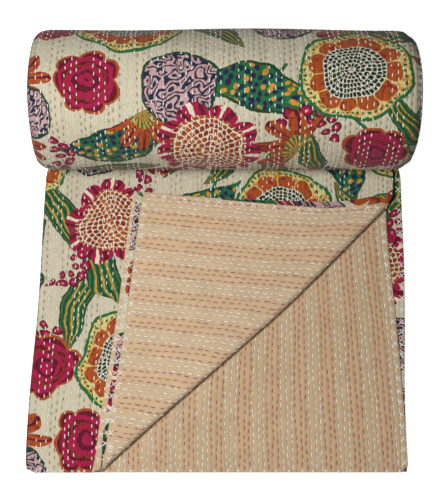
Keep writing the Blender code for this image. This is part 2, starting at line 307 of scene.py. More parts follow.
def makeHalf(name, half):
    section, rows = sectionOf(half), rowPlaces()
    columns = len(section)
    bpy.ops.object.select_all(action="DESELECT")
    bpy.ops.mesh.primitive_grid_add(x_subdivisions=columns - 1, y_subdivisions=len(rows) - 1, size=1)
    cloth = bpy.context.object
    cloth.name = cloth.data.name = name
    mesh = cloth.data
    across = np.array([p[0] for p in section])
    height = np.array([p[1] for p in section])
    lengths = np.hypot(np.diff(across), np.diff(height))
    u = np.concatenate([[0], np.cumsum(lengths)])
    sections[name] = (u, across, height)
    x, z = np.tile(across, len(rows)), np.tile(height, len(rows))
    s = np.repeat(np.array(rows), columns)
    # round the two free corners at the open end
    for (hem, inward), size in zip(((0, 1), (columns - 1, -1)), half["rounds"]):
        for i in range(3):
            for j in range(3):
                p = size * (1 - abs(across[hem + inward * i] - across[hem]) / quilt["hemRound"])
                q = size * (1 - rows[j] / quilt["hemRound"])
                if p > 1e-6 and q > 1e-6:
                    scale = max(p, q) / math.hypot(p, q)
                    index = j * columns + hem + inward * i
                    x[index] -= p - p * scale
                    s[index] += q - q * scale
    mesh.vertices.foreach_set("co", np.stack([x, s + quilt["openEnd"], z], 1).astype(np.float32).ravel())
    uvs = mesh.uv_layers.active
    uvs.name = "clothPlace"
    loopVertex = np.zeros(len(mesh.loops), np.int32)
    mesh.loops.foreach_get("vertex_index", loopVertex)
    uAll = np.tile(u, len(rows))
    vAll = np.repeat(np.array(rows), columns)
    if half["flip"]:
        vAll = quilt["clothLength"] - vAll
    uvs.data.foreach_set("uv", np.stack([uAll[loopVertex], vAll[loopVertex]], 1).astype(np.float32).ravel())
    if half["flip"]:
        bpy.ops.object.mode_set(mode="EDIT")
        bpy.ops.mesh.select_all(action="SELECT")
        bpy.ops.mesh.flip_normals()
        bpy.ops.object.mode_set(mode="OBJECT")
    thicken = cloth.modifiers.new("thickness", "SOLIDIFY")
    thicken.thickness = quilt["thickness"]
    thicken.offset = 0
    thicken.use_even_offset = True
    thicken.material_offset = 1
    thicken.material_offset_rim = 1
    return cloth


def foldCorner(cloth):
    bm = bmesh.new()
    bm.from_mesh(cloth.data)
    c, s = math.cos(math.radians(corner["angle"])), math.sin(math.radians(corner["angle"]))
    for step in range(corner["steps"] + 1):
        faces = [f for f in bm.faces if min(v.co.z for v in f.verts) > turnedAbove]
        faces = [f for f in faces if min(v.co.y for v in f.verts) < corner["frontOf"]]
        edges = {e for f in faces for e in f.edges}
        verts = {v for f in faces for v in f.verts}
        bmesh.ops.bisect_plane(
            bm,
            geom=[*verts, *edges, *faces],
            dist=1e-6,
            plane_co=(corner["x"], quilt["openEnd"], creaseHeight),
            plane_no=(s, -c, math.pi * step / corner["steps"]),
        )
    bm.to_mesh(cloth.data)
    bm.free()


def settle(cloth):
    points = np.zeros(len(cloth.data.vertices) * 3, np.float32)
    cloth.data.vertices.foreach_get("co", points)
    cloth.data.vertices.foreach_set("co", place(points.reshape(-1, 3)).astype(np.float32).ravel())
    cloth.data.update()
    bpy.ops.object.shade_smooth_by_angle(angle=math.radians(50))


inks = {  # as seen on the cloth, 0 to 255
    "ground": (206, 197, 170),
    "tan": (213, 186, 150),
    "rust": (172, 78, 26),
    "brick": (140, 42, 30),
    "ochre": (206, 144, 52),
    "straw": (218, 200, 126),
    "cream": (226, 216, 184),
    "green": (26, 108, 60),
    "deepGreen": (18, 68, 44),
    "teal": (14, 50, 54),
    "navy": (32, 32, 74),
    "magenta": (166, 18, 68),
    "wine": (98, 10, 34),
    "pink": (198, 158, 158),
}


# the second value makes an ink darker: for random tone, and for painted shade in the thread's furrows
def ink(name, toneAndShade=1.0):
    linear = [((c / 255 + 0.055) / 1.055) ** 2.4 if c > 10 else c / 255 / 12.92 for c in inks[name]]
    return (*[c * toneAndShade for c in linear], 1)


class Sketch:  # lays nodes into one tree
    def __init__(self, tree):
        self.tree = tree

    def node(self, kind, **settings):
        made = self.tree.nodes.new(kind)
        for key, value in settings.items():
            setattr(made, key, value)
        return made

    def feed(self, socket, value):
        if isinstance(value, bpy.types.NodeSocket):
            self.tree.links.new(value, socket)
        else:
            socket.default_value = value

    def calc(self, operation, *values, clamp=False):
        made = self.node("ShaderNodeMath", operation=operation, use_clamp=clamp)
        for socket, value in zip(made.inputs, values):
            self.feed(socket, value)
        return made.outputs[0]

    def vector(self, operation, *values):
        made = self.node("ShaderNodeVectorMath", operation=operation)
        for socket, value in zip(made.inputs, values):
            self.feed(socket, value)
        return made.outputs["Value"] if operation in ("LENGTH", "DOT_PRODUCT", "DISTANCE") else made.outputs[0]

    def split(self, vector):
        made = self.node("ShaderNodeSeparateXYZ")
        self.feed(made.inputs[0], vector)
        return made.outputs[0], made.outputs[1]

    def join(self, x, y):
        made = self.node("ShaderNodeCombineXYZ")
        self.feed(made.inputs[0], x)
        self.feed(made.inputs[1], y)
        return made.outputs[0]

    def mix(self, factor, below, above, blend="MIX"):
        made = self.node("ShaderNodeMix", data_type="RGBA", blend_type=blend)
        for index, value in ((0, factor), (6, below), (7, above)):
            self.feed(made.inputs[index], value)
        return made.outputs[2]

    def noise(self, vector, scale, detail=2.0, rough=0.5):
        made = self.node("ShaderNodeTexNoise")
        for name, value in (("Vector", vector), ("Scale", scale), ("Detail", detail), ("Roughness", rough)):
            self.feed(made.inputs[name], value)
        return made.outputs

    def soft(self, value, low, high):
        made = self.node("ShaderNodeMapRange", interpolation_type="SMOOTHSTEP")
        self.feed(made.inputs[0], value)
        made.inputs[1].default_value, made.inputs[2].default_value = low, high
        return made.outputs[0]

    def group(self, name, **values):
        made = self.node("ShaderNodeGroup", node_tree=bpy.data.node_groups[name])
        for key, value in values.items():
            self.feed(made.inputs[key], value)
        return made.outputs


def newGroup(name, inputs, outputs):
    tree = bpy.data.node_groups.new(name, "ShaderNodeTree")
    for title, kind, start in inputs:
        socket = tree.interface.new_socket(title, in_out="INPUT", socket_type="NodeSocket" + kind)
        if start is not None:
            socket.default_value = start
    for title, kind in outputs:
        tree.interface.new_socket(title, in_out="OUTPUT", socket_type="NodeSocket" + kind)
    sketch = Sketch(tree)
    came, goes = sketch.node("NodeGroupInput"), sketch.node("NodeGroupOutput")
    return sketch, came.outputs, goes.inputs


printRepeat = (0.62, 0.68)  # metres across and along the cloth

# the print's motifs: across, along, turn and size, in metres and radians
printMotifs = {
    "stems": (
        (0.060, 0.250, 0.9, 0.090),
        (0.300, 0.440, 2.6, 0.095),
        (0.500, 0.330, 4.4, 0.090),
        (0.240, 0.100, 1.5, 0.080),
        (0.360, 0.600, 5.6, 0.090),
        (0.560, 0.640, 3.4, 0.085),
        (0.120, 0.540, 0.2, 0.085),
    ),
    "beadLeaves": (
        (0.285, 0.035, 0.4, 0.092),
        (0.470, 0.160, 2.4, 0.094),
        (0.185, 0.390, 5.4, 0.092),
        (0.415, 0.500, 1.1, 0.094),
        (0.070, 0.625, 2.9, 0.090),
    ),
    "stripeLeaves": (
        (0.205, 0.160, 0.7, 0.080),
        (0.230, 0.205, 6.0, 0.072),
        (0.010, 0.265, 5.1, 0.082),
        (0.040, 0.300, 4.4, 0.078),
        (0.590, 0.405, 0.9, 0.082),
        (0.255, 0.510, 2.2, 0.084),
        (0.300, 0.555, 1.6, 0.072),
        (0.490, 0.650, 4.0, 0.080),
        (0.365, 0.225, 3.2, 0.078),
        (0.431, 0.393, 1.2, 0.068),
        (0.072, 0.565, 3.0, 0.066),
        (0.355, 0.600, 1.4, 0.062),
        (0.229, 0.345, 1.8, 0.058),
        (0.555, 0.369, 1.6, 0.056),
    ),
    "berries": (
        (0.195, 0.255, 4.4, 0.042),
        (0.460, 0.255, 1.1, 0.042),
        (0.130, 0.450, 2.9, 0.040),
        (0.580, 0.600, 0.3, 0.042),
        (0.345, 0.640, 5.0, 0.042),
        (0.597, 0.320, 0.6, 0.040),
        (0.575, 0.240, 2.2, 0.036),
    ),
    "fans": (
        (0.535, 0.045, 5.3, 0.066),
        (0.110, 0.000, 1.2, 0.060),
        (0.150, 0.275, 2.3, 0.066),
        (0.475, 0.395, 0.9, 0.064),
        (0.335, 0.615, 3.6, 0.066),
        (0.405, 0.160, 2.2, 0.056),
        (0.345, 0.515, 4.7, 0.054),
        (0.545, 0.615, 0.7, 0.046),
    ),
    "pods": (
        (0.315, 0.160, 0.8, 0.047),
        (0.525, 0.285, 2.1, 0.047),
        (0.022, 0.505, 4.0, 0.048),
        (0.165, 0.040, 2.9, 0.058),
        (0.556, 0.672, 1.3, 0.044),
    ),
    "coneFlowers": (
        (0.205, 0.620, 0.2, 0.076),
        (0.400, 0.300, 0.9, 0.068),
        (0.055, 0.385, 0.5, 0.070),
    ),
    "rosettes": (
        (0.032, 0.045, 0.4, 0.050),
        (0.585, 0.160, 1.4, 0.050),
        (0.270, 0.280, 2.2, 0.052),
        (0.140, 0.515, 0.9, 0.052),
        (0.440, 0.605, 0.0, 0.050),
    ),
    "wheelFlowers": (
        (0.405, 0.060, 0.3, 0.079),
        (0.085, 0.165, 1.9, 0.078),
        (0.320, 0.395, 1.1, 0.079),
        (0.535, 0.510, 2.9, 0.080),
    ),
}


def nearestMotif(k, place, places):  # where a point lies in the nearest motif of one kind
    half = (printRepeat[0] / 2, printRepeat[1] / 2, 1)

    def wrapped(spot):
        return k.vector("WRAP", k.vector("SUBTRACT", place, spot), half, [-h for h in half])

    spot = size = near = None
    for x, y, turn, big in places:
        distance = k.calc("DIVIDE", k.vector("LENGTH", wrapped((x, y, 0))), big)
        if near is None:
            spot, size, near = (x, y, turn), big, distance
            continue
        nearer = k.calc("LESS_THAN", distance, near)
        choose = k.node("ShaderNodeMix", data_type="VECTOR")
        for index, value in ((0, nearer), (4, spot), (5, (x, y, turn))):
            k.feed(choose.inputs[index], value)
        spot = choose.outputs[1]
        size = k.calc("ADD", size, k.calc("MULTIPLY", nearer, k.calc("SUBTRACT", big, size)))
        near = k.calc("MINIMUM", distance, near)
    parts = k.node("ShaderNodeSeparateXYZ")
    k.feed(parts.inputs[0], spot)
    turned = k.node("ShaderNodeVectorRotate", rotation_type="Z_AXIS")
    k.feed(turned.inputs["Vector"], wrapped(k.join(parts.outputs[0], parts.outputs[1])))
    k.feed(turned.inputs["Angle"], parts.outputs[2])
    local = k.vector("SCALE", turned.outputs[0])
    k.feed(local.node.inputs["Scale"], k.calc("DIVIDE", 1.0, size))
    x, y = k.split(local)
    return local, near, k.calc("DIVIDE", k.calc("ARCTAN2", y, x), 2 * math.pi)


def makeScaleRings():  # rows of scales round a centre, each row half a scale on
    k, came, goes = newGroup(
        "scaleRings",
        [("Distance", "Float", 0.0), ("Angle", "Float", 0.0), ("Rings", "Float", 8.0), ("Fill", "Float", 0.36)],
        [("Scale", "Float")],
    )
    along = k.calc("MULTIPLY", came["Distance"], came["Rings"])
    ring = k.calc("FLOOR", along)
    count = k.calc("ADD", k.calc("MULTIPLY", ring, 6.0), 4.0)
    around = k.calc("ADD", k.calc("MULTIPLY", came["Angle"], count), k.calc("MULTIPLY", ring, 0.5))
    a = k.calc("SUBTRACT", k.calc("FRACT", around), 0.5)
    b = k.calc("SUBTRACT", k.calc("FRACT", along), 0.5)
    b = k.calc("ADD", b, k.calc("MULTIPLY", k.calc("SUBTRACT", k.calc("MULTIPLY", a, a), 0.06), 0.9))
    size = k.calc("ADD", k.calc("POWER", k.calc("ABSOLUTE", a), 3.0), k.calc("POWER", k.calc("ABSOLUTE", b), 3.0))
    k.feed(goes["Scale"], k.calc("LESS_THAN", k.calc("POWER", size, 0.333), came["Fill"]))


def scales(k, r, a, rings, fill):
    return k.group("scaleRings", Distance=r, Angle=a, Rings=rings, Fill=fill)["Scale"]


def petalCells(k, angle, count, shift=0.0):  # -0.5 to 0.5 across each petal
    return k.calc("SUBTRACT", k.calc("FRACT", k.calc("ADD", k.calc("MULTIPLY", angle, float(count)), shift)), 0.5)


def lobed(k, angle, lobes, low, high):  # a rounded, lobed rim
    wave = k.calc("ABSOLUTE", k.calc("COSINE", k.calc("MULTIPLY", angle, math.pi * lobes)))
    return k.calc("ADD", low, k.calc("MULTIPLY", k.calc("POWER", wave, 0.55), high - low))


def drawStem(k, local, r, a):  # part of a ring, as a curved stalk
    wobble = k.calc("MULTIPLY", k.calc("SINE", k.calc("MULTIPLY", a, 40.0)), 0.012)
    line = k.calc("LESS_THAN", k.calc("ABSOLUTE", k.calc("SUBTRACT", k.calc("ADD", r, wobble), 0.9)), 0.032)
    part = k.calc("LESS_THAN", k.calc("ABSOLUTE", a), 0.19)
    return ink("green"), k.calc("MULTIPLY", line, part)


def leafShape(k, local, plump):  # pointed at both ends
    x, y = k.split(local)
    y = k.calc("ADD", y, k.calc("MULTIPLY", k.calc("MULTIPLY", x, x), 0.16))
    half = k.calc("MULTIPLY", k.calc("SUBTRACT", 1.0, k.calc("POWER", k.calc("ABSOLUTE", x), 1.8)), plump)
    share = k.calc("DIVIDE", y, k.calc("MAXIMUM", half, 0.001))
    inWidth = k.calc("LESS_THAN", k.calc("ABSOLUTE", share), 1.0)
    inLength = k.calc("LESS_THAN", k.calc("ABSOLUTE", x), 0.99)
    return share, k.calc("MULTIPLY", inWidth, inLength)


def drawBeadLeaf(k, local, r, a):  # navy and ochre beads on green
    share, inside = leafShape(k, local, 0.40)
    cell = k.node("ShaderNodeTexVoronoi", feature="F1", voronoi_dimensions="2D")
    k.feed(cell.inputs["Vector"], local)
    cell.inputs["Scale"].default_value, cell.inputs["Randomness"].default_value = 8.5, 0.35
    bead = k.mix(k.calc("GREATER_THAN", k.split(cell.outputs["Color"])[0], 0.62), ink("navy"), ink("ochre"))
    colour = k.mix(k.calc("LESS_THAN", cell.outputs["Distance"], 0.38), ink("green"), bead)
    return k.mix(k.calc("GREATER_THAN", k.calc("ABSOLUTE", share), 0.86), colour, ink("deepGreen")), inside


def drawStripeLeaf(k, local, r, a):
    share, inside = leafShape(k, local, 0.29)
    stripe = k.calc("ABSOLUTE", petalCells(k, share, 2.2, 0.5))
    colour = k.mix(k.calc("LESS_THAN", stripe, 0.13), ink("green"), ink("ochre"))
    colour = k.mix(k.calc("GREATER_THAN", stripe, 0.38), colour, ink("deepGreen"))
    return k.mix(k.calc("GREATER_THAN", k.calc("ABSOLUTE", share), 0.86), colour, ink("deepGreen")), inside


def drawBerries(k, local, r, a):  # two bent rows of outlined berries
    row = k.calc("GREATER_THAN", r, 0.80)
    count = k.calc("ADD", 9.0, k.calc("MULTIPLY", row, 4.0))
    berry = k.calc("ADD", k.calc("MULTIPLY", a, count), k.calc("MULTIPLY", row, 0.5))
    across = k.calc("SUBTRACT", k.calc("FRACT", berry), 0.5)
    across = k.calc("MULTIPLY", k.calc("DIVIDE", across, count), 2 * math.pi * 0.8)
    out = k.calc("SUBTRACT", r, k.calc("ADD", 0.62, k.calc("MULTIPLY", row, 0.38)))
    size = k.vector("LENGTH", k.join(across, out))
    colour = k.mix(k.calc("LESS_THAN", size, 0.125), ink("wine"), ink("magenta"))
    colour = k.mix(k.calc("LESS_THAN", size, 0.04), colour, ink("pink"))
    inBunch = k.calc("LESS_THAN", k.calc("ABSOLUTE", a), 0.24)
    return colour, k.calc("MULTIPLY", k.calc("LESS_THAN", size, 0.185), inBunch)


def drawFan(k, local, r, a):  # spread rust fingers above a striped green cup
    across = k.calc("ABSOLUTE", petalCells(k, a, 10))
    edge = k.calc("SUBTRACT", 1.0, k.calc("MULTIPLY", k.calc("POWER", across, 2.0), 1.9))
    fingers = k.calc("MULTIPLY", k.calc("LESS_THAN", r, edge), k.calc("LESS_THAN", k.calc("ABSOLUTE", a), 0.25))
    rust = k.mix(k.calc("LESS_THAN", across, 0.07), ink("rust"), ink("wine"))
    rust = k.mix(k.calc("GREATER_THAN", k.noise(local, 7.0)[0], 0.58), rust, ink("brick"))
    between = k.calc("MULTIPLY", k.calc("GREATER_THAN", across, 0.45), k.calc("GREATER_THAN", r, 0.5))
    colour = k.mix(between, rust, ink("wine"))
    stripes = k.calc("GREATER_THAN", k.calc("ABSOLUTE", petalCells(k, a, 20)), 0.25)
    cup = k.mix(stripes, ink("green"), ink("ochre"))
    return k.mix(k.calc("LESS_THAN", r, 0.42), colour, cup), fingers


def drawPod(k, local, r, a):  # covered with wandering lines
    maze = k.calc("MULTIPLY", k.noise(local, 2.3, 1.0)[0], 2 * math.pi * 9.0)
    lines = k.calc("SINE", maze)
    colour = k.mix(k.calc("GREATER_THAN", lines, 0.05), ink("pink"), ink("teal"))
    colour = k.mix(k.calc("GREATER_THAN", lines, 0.86), colour, ink("navy"))
    return k.mix(k.calc("GREATER_THAN", r, 0.91), colour, ink("deepGreen")), k.calc("LESS_THAN", r, 0.98)


def drawConeFlower(k, local, r, a):  # a disc of brick scales on a skirt of dark petals
    edge = lobed(k, a, 9, 0.78, 1.0)
    vein = k.calc("ABSOLUTE", petalCells(k, a, 9, 0.5))
    skirt = k.mix(k.calc("LESS_THAN", vein, 0.06), ink("magenta"), ink("cream"))
    skirt = k.mix(k.calc("LESS_THAN", k.calc("ABSOLUTE", k.calc("SUBTRACT", vein, 0.25)), 0.06), skirt, ink("wine"))
    scale = k.mix(k.calc("GREATER_THAN", k.noise(local, 4.0)[0], 0.52), ink("brick"), ink("rust"))
    disc = k.mix(scales(k, r, a, 9.0, 0.42), ink("cream"), scale)
    return k.mix(k.calc("LESS_THAN", r, 0.74), skirt, disc), k.calc("LESS_THAN", r, edge)


def drawRosette(k, local, r, a):  # a double rose with wavy rings
    edge = lobed(k, a, 7, 0.80, 0.98)
    bent = k.calc("ADD", r, k.calc("MULTIPLY", k.noise(local, 2.6)[0], 0.30))
    rings = k.calc("ABSOLUTE", k.calc("SUBTRACT", k.calc("FRACT", k.calc("MULTIPLY", bent, 3.6)), 0.5))
    colour = k.mix(k.calc("LESS_THAN", rings, 0.22), ink("magenta"), ink("wine"))
    inner = k.calc("SUBTRACT", r, k.calc("MULTIPLY", edge, 0.55))
    colour = k.mix(k.calc("LESS_THAN", k.calc("ABSOLUTE", inner), 0.04), colour, ink("brick"))
    rim = k.calc("GREATER_THAN", r, k.calc("SUBTRACT", edge, 0.08))
    return k.mix(rim, colour, ink("rust")), k.calc("LESS_THAN", r, edge)


def drawWheelFlower(k, local, r, a):  # scaled eye, rounded petals, a dotted collar and an outline
    edge = k.calc("ADD", 0.95, k.calc("MULTIPLY", k.calc("SINE", k.calc("MULTIPLY", a, 2 * math.pi * 5)), 0.035))
    across = petalCells(k, a, 11)
    out = k.calc("DIVIDE", k.calc("SUBTRACT", r, 0.50), 0.33)  # 0 to 1 along a petal
    fromMiddle = k.calc("ABSOLUTE", k.calc("SUBTRACT", k.calc("MULTIPLY", out, 2.0), 0.9))
    width = k.calc("SUBTRACT", 1.0, k.calc("POWER", fromMiddle, 3.0))
    width = k.calc("MULTIPLY", k.calc("SQRT", k.calc("MAXIMUM", width, 0.0)), 0.47)
    petal = k.calc("LESS_THAN", k.calc("ABSOLUTE", across), width)
    collar = k.mix(k.calc("GREATER_THAN", k.noise(local, 13.0, 1.0)[0], 0.55), ink("straw"), ink("ochre"))
    dots = k.calc("MULTIPLY", scales(k, r, a, 10.0, 0.25), k.calc("GREATER_THAN", r, 0.8))
    collar = k.mix(dots, collar, ink("green"))
    rust = k.mix(k.calc("GREATER_THAN", k.noise(local, 9.0)[0], 0.60), ink("rust"), ink("brick"))
    colour = k.mix(petal, collar, rust)
    eye = k.mix(scales(k, r, a, 12.5, 0.42), ink("cream"), ink("teal"))
    colour = k.mix(k.calc("LESS_THAN", r, 0.575), colour, eye)
    rim = k.calc("LESS_THAN", k.calc("ABSOLUTE", k.calc("SUBTRACT", r, edge)), 0.030)
    return k.mix(rim, colour, ink("green")), k.calc("LESS_THAN", r, k.calc("ADD", edge, 0.03))


motifDrawings = {
    "stems": drawStem,
    "beadLeaves": drawBeadLeaf,
    "stripeLeaves": drawStripeLeaf,
    "berries": drawBerries,
    "fans": drawFan,
    "pods": drawPod,
    "coneFlowers": drawConeFlower,
    "rosettes": drawRosette,
    "wheelFlowers": drawWheelFlower,
}


def makeMotifGroup(name):
    k, came, goes = newGroup(name, [("Under", "Color", (1, 1, 1, 1)), ("Place", "Vector", None)], [("Color", "Color")])
    colour, shape = motifDrawings[name](k, *nearestMotif(k, came["Place"], printMotifs[name]))
    k.feed(goes["Color"], k.mix(shape, came["Under"], colour))


def makeFloralPrint():
    k, came, goes = newGroup("floralPrint", [("Place", "Vector", None)], [("Color", "Color")])
    shift = k.noise(came["Place"], 95.0, 2.0)["Color"]
    shift = k.vector("SCALE", k.vector("SUBTRACT", shift, (0.5, 0.5, 0.5)))
    shift.node.inputs["Scale"].default_value = 0.0045  # the blocks' edges are cut by hand
    bend = k.vector("SUBTRACT", k.noise(came["Place"], 15.0, 1.0)["Color"], (0.5, 0.5, 0.5))
    bend = k.vector("SCALE", bend)
    bend.node.inputs["Scale"].default_value = 0.034  # and no two petals are drawn alike
    place = k.vector("ADD", came["Place"], k.vector("ADD", shift, bend))
    colour = ink("ground")
    for name in motifDrawings:
        colour = k.group(name, Under=colour, Place=place)["Color"]
    k.feed(goes["Color"], colour)


stitching = {
    "group": 0.0207,  # three rows of one thread, then three of the other
    "row": 0.0078,
    "step": 0.0119,  # from stitch to stitch
    "lengthBack": 0.0074,
    "lengthFront": 0.0058,
    "width": {"redThread": 0.0012, "maroonThread": 0.0010, "creamThread": 0.0017},
    "rise": 0.0006,
    "wander": ((0.0008, 31.0, 2.1), (0.0004, 83.0, 4.7)),  # how far, how often along, and row by row
    "phase": 0.618,
    "crossStep": 0.0178,
    "crossFrom": (0.004, 0.006),  # the first is this far from the side hems, and from the open end
    "crossSize": 0.0100,
    "crossWidth": 0.0013,
    "crossRise": (0.0006, 0.0011),  # of the stitch below and the one across it
    "sunk": 0.0001,  # thread starts just inside the cloth
}


def makeQuilting():  # cloth drawn down along its rows of stitches
    taken = [("Place", "Vector", None), ("Side", "Float", 0.0)]
    k, came, goes = newGroup("quilting", taken, [("Height", "Float"), ("Shade", "Float")])
    x, y = k.split(came["Place"])
    group, row = stitching["group"], stitching["row"]
    base = k.calc("FLOOR", k.calc("DIVIDE", x, group))
    rest = k.calc("SUBTRACT", x, k.calc("MULTIPLY", base, group))
    steps = [k.calc("GREATER_THAN", rest, limit) for limit in (0.5 * row, 1.5 * row, row + 0.5 * group)]
    index = k.calc("ADD", k.calc("ADD", steps[0], steps[1]), steps[2])
    rowAt = k.calc("MINIMUM", k.calc("MULTIPLY", index, row), group)
    number = k.calc("ADD", k.calc("MULTIPLY", base, 3.0), index)
    for far, often, turn in stitching["wander"]:
        wave = k.calc("SINE", k.calc("ADD", k.calc("MULTIPLY", y, often), k.calc("MULTIPLY", number, turn)))
        rowAt = k.calc("ADD", rowAt, k.calc("MULTIPLY", wave, far))
    off = k.calc("ABSOLUTE", k.calc("SUBTRACT", rest, rowAt))
    puff = k.soft(off, 0.0, 0.0034)
    along = k.calc("ADD", k.calc("DIVIDE", y, stitching["step"]), k.calc("MULTIPLY", number, stitching["phase"]))
    beat = k.calc("COSINE", k.calc("MULTIPLY", k.calc("ADD", along, came["Side"]), 2 * math.pi))
    dimple = k.calc("MULTIPLY", k.calc("SUBTRACT", 1.0, puff), k.soft(beat, -0.6, 0.8))
    crumple = k.noise(k.join(k.calc("MULTIPLY", x, 150.0), k.calc("MULTIPLY", y, 105.0)), 1.0, 3.0, 0.6)[0]
    swell = k.calc("SUBTRACT", k.calc("MULTIPLY", puff, 0.7), k.calc("MULTIPLY", dimple, 0.5))
    k.feed(goes["Height"], k.calc("ADD", swell, k.calc("MULTIPLY", crumple, 0.8)))
    shade = k.calc("ADD", k.calc("MULTIPLY", swell, 0.06), k.calc("MULTIPLY", crumple, 0.26))
    k.feed(goes["Shade"], k.calc("ADD", 0.86, shade))


def makeWeave():  # plain weave, just over half a millimetre
    taken = [("Place", "Vector", None), ("Thread", "Float", 0.0006)]
    k, came, goes = newGroup("plainWeave", taken, [("Height", "Float"), ("Shade", "Float")])
    x, y = k.split(came["Place"])
    a = k.calc("SINE", k.calc("MULTIPLY", k.calc("DIVIDE", x, came["Thread"]), math.pi))
    b = k.calc("SINE", k.calc("MULTIPLY", k.calc("DIVIDE", y, came["Thread"]), math.pi))
    over = k.calc("MULTIPLY", a, b)
    slub = k.noise(k.join(k.calc("MULTIPLY", x, 2400.0), k.calc("MULTIPLY", y, 160.0)), 1.0, 1.0)[0]
    slub2 = k.noise(k.join(k.calc("MULTIPLY", x, 160.0), k.calc("MULTIPLY", y, 2400.0)), 1.0, 1.0)[0]
    slubs = k.calc("ADD", slub, slub2)
    k.feed(goes["Height"], k.calc("ADD", k.calc("MULTIPLY", over, 0.5), k.calc("MULTIPLY", slubs, 0.5)))
    k.feed(goes["Shade"], k.calc("ADD", 0.91, k.calc("MULTIPLY", slubs, 0.09)))


cotton = {
    "sheen": 0.12,
    "sheenRoughness": 0.5,
    "shine": 0.25,
    "weaveBump": (0.35, 0.0002),  # strength, and height in metres
    "quiltingBump": (0.75, 0.0010),
}


def makeCottonMaterial(name, printed):
    material = bpy.data.materials.new(name)
    material.use_nodes = True
    k = Sketch(material.node_tree)
    shader = material.node_tree.nodes["Principled BSDF"]
    uv = k.node("ShaderNodeUVMap", uv_map="clothPlace").outputs[0]
    if printed:
        colour = k.group("floralPrint", Place=uv)["Color"]
    else:
        patch = k.soft(k.noise(uv, 5.0, 3.0)[0], 0.3, 0.7)
        colour = k.mix(patch, ink("tan"), ink("tan", 0.93))
        paintedFalloff = k.soft(k.split(uv)[0], 0.0, 0.9)  # painted shade: the backing is made darker towards one side, standing in for light that falls off there
        colour = k.mix(paintedFalloff, k.mix(1.0, colour, (0.90, 0.87, 0.83, 1), "MULTIPLY"), colour)
        turn = k.calc("DIVIDE", k.calc("SUBTRACT", k.split(uv)[0], stitching["row"]), stitching["group"])
        redder = k.calc("SUBTRACT", 0.5, k.calc("MULTIPLY", k.calc("COSINE", k.calc("MULTIPLY", turn, math.pi)), 0.5))
        band = k.mix(redder, (0.985, 1.0, 1.0, 1), (1.015, 0.96, 0.94, 1))  # red thread shows through
        colour = k.mix(1.0, colour, band, "MULTIPLY")
    quilting = k.group("quilting", Place=uv, Side=0.0 if printed else 0.5)
    weave = k.group("plainWeave", Place=uv)
    wear = k.soft(k.noise(uv, 38.0, 4.0, 0.65)[0], 0.25, 0.75)
    worn = k.calc("ADD", 0.79, k.calc("MULTIPLY", wear, 0.10))
    shade = k.calc("MULTIPLY", k.calc("MULTIPLY", quilting["Shade"], weave["Shade"]), worn)
    tint = k.node("ShaderNodeCombineColor")
    for socket in tint.inputs:
        k.feed(socket, shade)
    k.feed(shader.inputs["Base Color"], k.mix(1.0, colour, tint.outputs[0], "MULTIPLY"))
    k.feed(shader.inputs["Roughness"], k.calc("ADD", 0.80, k.calc("MULTIPLY", wear, 0.12)))
    shader.inputs["Sheen Weight"].default_value = cotton["sheen"]
    shader.inputs["Sheen Roughness"].default_value = cotton["sheenRoughness"]
    shader.inputs["Specular IOR Level"].default_value = cotton["shine"]
    fine = k.node("ShaderNodeBump")
    fine.inputs["Strength"].default_value, fine.inputs["Distance"].default_value = cotton["weaveBump"]
    k.feed(fine.inputs["Height"], weave["Height"])
    coarse = k.node("ShaderNodeBump")
    coarse.inputs["Strength"].default_value, coarse.inputs["Distance"].default_value = cotton["quiltingBump"]
    k.feed(coarse.inputs["Height"], quilting["Height"])
    k.feed(coarse.inputs["Normal"], fine.outputs[0])
    k.feed(shader.inputs["Normal"], coarse.outputs[0])
    return material


makeScaleRings()
for name in motifDrawings:
    makeMotifGroup(name)
makeFloralPrint()
makeQuilting()
makeWeave()
cottons = [makeCottonMaterial("printedCotton", True), makeCottonMaterial("backingCotton", False)]
print("cottons mixed:", len(bpy.data.node_groups), "groups")

threads = {  # as seen on the cloth, 0 to 255, and how much lighter or darker it gets
    "redThread": ((186, 78, 66), 0.25),
    "maroonThread": ((112, 40, 44), 0.30),
    "creamThread": ((255, 254, 246), 0.0),
}


def makeThreadMaterial(name, dye, spread):
    material = bpy.data.materials.new(name)
    material.use_nodes = True
    k = Sketch(material.node_tree)
    shader = material.node_tree.nodes["Principled BSDF"]
    inks[name] = dye
    place = k.node("ShaderNodeTexCoord").outputs["Object"]
    uneven = k.soft(k.noise(place, 110.0, 2.0)[0], 0.3, 0.7)
    around, along = k.split(k.node("ShaderNodeUVMap", uv_map="threadPlace").outputs[0])
    twist = k.calc("ADD", k.calc("MULTIPLY", around, 2.0), k.calc("MULTIPLY", along, 9.0))
    ply = k.calc("SINE", k.calc("MULTIPLY", twist, 2 * math.pi))
    colour = k.mix(uneven, ink(name, 1 - spread), ink(name))
    # painted shade: the thread is darkened in the furrows between its plies
    plyShade = k.calc("MULTIPLY", k.calc("SUBTRACT", 1.0, ply), 0.08)
    k.feed(shader.inputs["Base Color"], k.mix(plyShade, colour, ink(name, 0.75)))
    k.feed(shader.inputs["Roughness"], k.calc("ADD", 0.62, k.calc("MULTIPLY", uneven, 0.15)))
    shader.inputs["Sheen Weight"].default_value = 0.2
    bump = k.node("ShaderNodeBump")
    bump.inputs["Strength"].default_value, bump.inputs["Distance"].default_value = 0.6, 0.0002
    k.feed(bump.inputs["Height"], ply)
    k.feed(shader.inputs["Normal"], bump.outputs[0])
    return material


for name, (dye, spread) in threads.items():
    makeThreadMaterial(name, dye, spread)


sections = {}  # each half's length across from hem to hem, with x and z


for name, half in halfCloth.items():
    cloth = makeHalf(name, half)
    for material in cottons:
        cloth.data.materials.append(material)
    bpy.ops.object.modifier_apply(modifier="thickness")
    if not half["flip"]:
        foldCorner(cloth)
    settle(cloth)
    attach(cloth, "root")
    print(name, "made", len(cloth.data.polygons))
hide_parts("kantha_quilt")


